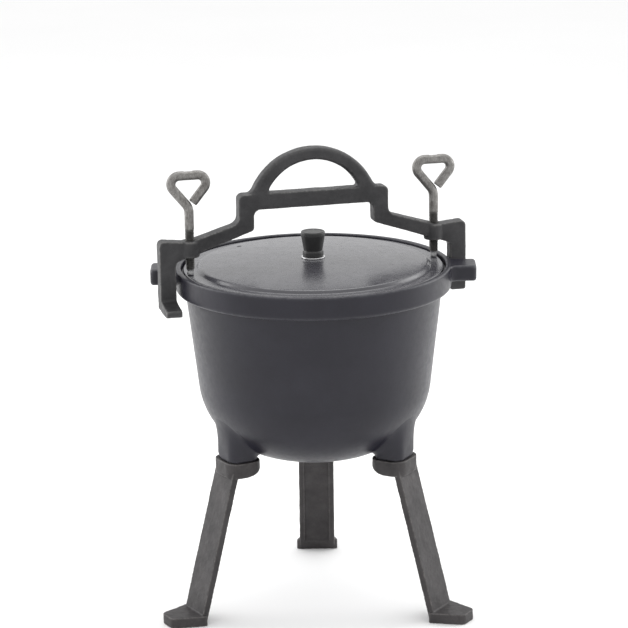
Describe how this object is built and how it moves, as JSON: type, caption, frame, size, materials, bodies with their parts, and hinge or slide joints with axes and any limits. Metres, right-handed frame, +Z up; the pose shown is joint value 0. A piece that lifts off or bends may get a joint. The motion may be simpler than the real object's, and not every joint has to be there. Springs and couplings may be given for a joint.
{
  "type": "three-legged cast iron kettle",
  "caption": "Three-legged cast iron pot with a lid that a turning yoke and eye screws clamp down.",
  "frame": {"origin": "on the floor, on the axis of the pot", "axes": "+Z up along the pot's axis; +X along the two lugs of the pot; +Y towards the single rear leg"},
  "size_m": [0.33, 0.3172, 0.4769],
  "materials": {
    "pot_iron": "as-cast iron, seasoned, fine grain, satin",
    "lid_iron": "as-cast iron, smooth skin, light grey sheen",
    "yoke_iron": "raw casting, coarse grain, handled edges",
    "leg_iron": "raw casting, warm grey, dusty",
    "screw_steel": "mill-scaled rod, bare thread and turned point",
    "bright_steel": "plated, slightly dull",
    "knob_black": "moulded black heat-proof plastic, satin"
  },
  "bodies": {
    "pot_and_legs": {"pot": "pot_iron", "leg_front_left": "leg_iron", "leg_front_right": "leg_iron", "leg_rear": "leg_iron"},
    "lid": {"lid": "lid_iron"},
    "knob_set": {"knob": "knob_black", "knob_seat_washer": "bright_steel", "knob_bolt": "bright_steel", "bolt_washer": "bright_steel"},
    "yoke": {"yoke": "yoke_iron"},
    "left_screw": {"left_clamp_screw": "screw_steel"},
    "right_screw": {"right_clamp_screw": "screw_steel"}
  },
  "joints": [
    {"name": "lid_lift", "type": "slide", "parent": "pot_and_legs", "child": "lid", "axis": [0, 0, 1], "range_m": [0, 0.092]},
    {"name": "yoke_turn", "type": "hinge", "parent": "lid", "child": "knob_set", "pos_m": [0, 0, 0.36], "axis": [0, 0, -1], "range_deg": [-151.5, 0]},
    {"name": "yoke_lift", "type": "slide", "parent": "knob_set", "child": "yoke", "axis": [0, 0, 1], "range_m": [0, 0.055]},
    {"name": "left_screw_feed", "type": "slide", "parent": "yoke", "child": "left_screw", "axis": [0, 0, 1], "range_m": [0, 0.018]},
    {"name": "right_screw_feed", "type": "slide", "parent": "yoke", "child": "right_screw", "axis": [0, 0, 1], "range_m": [0, 0.018]}
  ]
}
